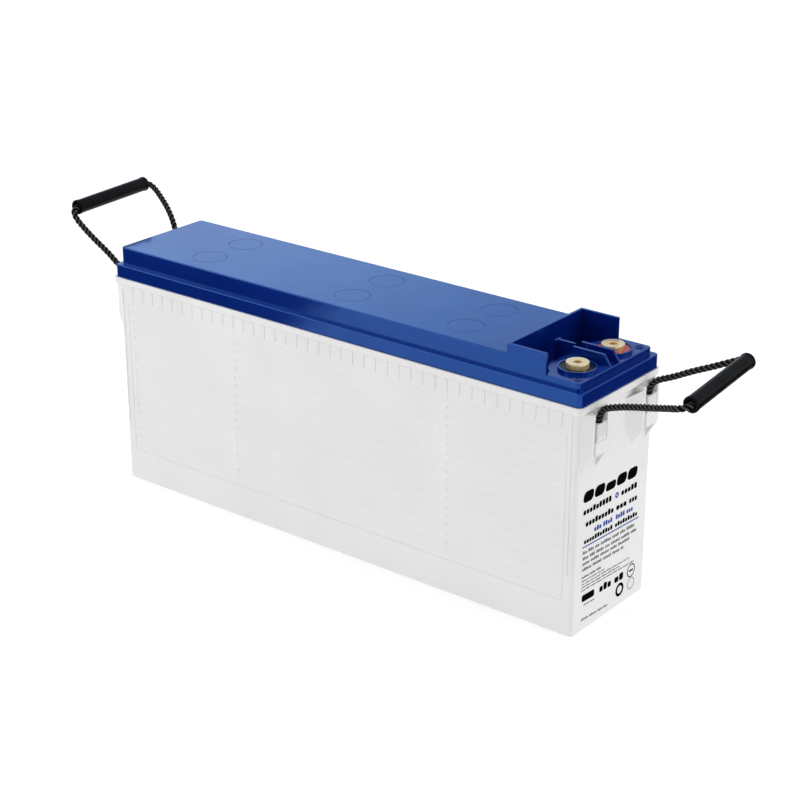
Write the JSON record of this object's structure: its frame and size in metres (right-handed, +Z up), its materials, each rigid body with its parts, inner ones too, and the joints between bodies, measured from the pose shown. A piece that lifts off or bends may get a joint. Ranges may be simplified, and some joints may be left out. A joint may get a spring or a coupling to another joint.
{
  "type": "deep cycle battery",
  "caption": "Slim front-terminal deep cycle battery with a ribbed pale case, blue lid, brass threaded terminals and a rope carrying handle at each end.",
  "frame": {"origin": "centre of the case's flat base", "axes": "+X along the length to the terminal end, +Y across the width to the positive terminal's side, +Z up"},
  "size_m": [0.6779, 0.1176, 0.2635],
  "materials": {
    "case_plastic": "satin moulded ABS, pale grey-white",
    "lid_plastic": "semi-gloss moulded ABS, deep blue",
    "clip_plastic": "satin moulded, pale grey-white",
    "grip_plastic": "smooth black tube",
    "rope_fibre": "three-strand twisted black polypropylene",
    "terminal_brass": "turned and tinned bright",
    "seal_black": "smooth",
    "seal_red": "smooth red",
    "valve_rubber": "smooth",
    "plate_positive": "pasted lead dioxide grid, dark brown",
    "plate_negative": "pasted spongy lead grid, grey",
    "lead_cast": "cast lead, dull",
    "glass_mat": "absorbent glass mat, felted"
  },
  "bodies": {
    "battery": {"case": "case_plastic", "lid": "lid_plastic", "vent_cover_1": "lid_plastic", "vent_cover_2": "lid_plastic", "vent_cover_3": "lid_plastic", "vent_cover_4": "lid_plastic", "vent_cover_5": "lid_plastic", "vent_cover_6": "lid_plastic", "vent_valve_1": "valve_rubber", "vent_valve_2": "valve_rubber", "vent_valve_3": "valve_rubber", "vent_valve_4": "valve_rubber", "vent_valve_5": "valve_rubber", "vent_valve_6": "valve_rubber", "terminal_negative": "terminal_brass", "terminal_positive": "terminal_brass", "terminal_seal_negative": "seal_black", "terminal_seal_positive": "seal_red", "terminal_o_rings": "valve_rubber", "rope_clip_1": "clip_plastic", "rope_clip_2": "clip_plastic", "rope_clip_3": "clip_plastic", "rope_clip_4": "clip_plastic", "front_rope_ends": "rope_fibre", "rear_rope_ends": "rope_fibre", "positive_plates_1": "plate_positive", "negative_plates_1": "plate_negative", "separators_1": "glass_mat", "positive_strap_1": "lead_cast", "negative_strap_1": "lead_cast", "positive_plates_2": "plate_positive", "negative_plates_2": "plate_negative", "separators_2": "glass_mat", "positive_strap_2": "lead_cast", "negative_strap_2": "lead_cast", "positive_plates_3": "plate_positive", "negative_plates_3": "plate_negative", "separators_3": "glass_mat", "positive_strap_3": "lead_cast", "negative_strap_3": "lead_cast", "positive_plates_4": "plate_positive", "negative_plates_4": "plate_negative", "separators_4": "glass_mat", "positive_strap_4": "lead_cast", "negative_strap_4": "lead_cast", "positive_plates_5": "plate_positive", "negative_plates_5": "plate_negative", "separators_5": "glass_mat", "positive_strap_5": "lead_cast", "negative_strap_5": "lead_cast", "positive_plates_6": "plate_positive", "negative_plates_6": "plate_negative", "separators_6": "glass_mat", "positive_strap_6": "lead_cast", "negative_strap_6": "lead_cast", "intercell_welds": "lead_cast"},
    "front_handle": {"front_rope": "rope_fibre"},
    "front_sleeve": {"front_grip": "grip_plastic"},
    "rear_handle": {"rear_rope": "rope_fibre"},
    "rear_sleeve": {"rear_grip": "grip_plastic"}
  },
  "joints": [
    {"name": "front_handle_swing", "type": "hinge", "parent": "battery", "child": "front_handle", "pos_m": [0.264, 0, 0.2005], "axis": [0, 1, 0], "range_deg": [-85, 66]},
    {"name": "front_grip_spin", "type": "hinge", "parent": "front_handle", "child": "front_sleeve", "pos_m": [0.344, 0, 0.2294], "axis": [-0.0271, 0.9964, 0.0801], "continuous": true},
    {"name": "rear_handle_swing", "type": "hinge", "parent": "battery", "child": "rear_handle", "pos_m": [-0.264, 0, 0.2005], "axis": [0, -1, 0], "range_deg": [-40, 86]},
    {"name": "rear_grip_spin", "type": "hinge", "parent": "rear_handle", "child": "rear_sleeve", "pos_m": [-0.3176, 0, 0.2556], "axis": [-0.0304, 0.9993, 0.0217], "continuous": true}
  ]
}
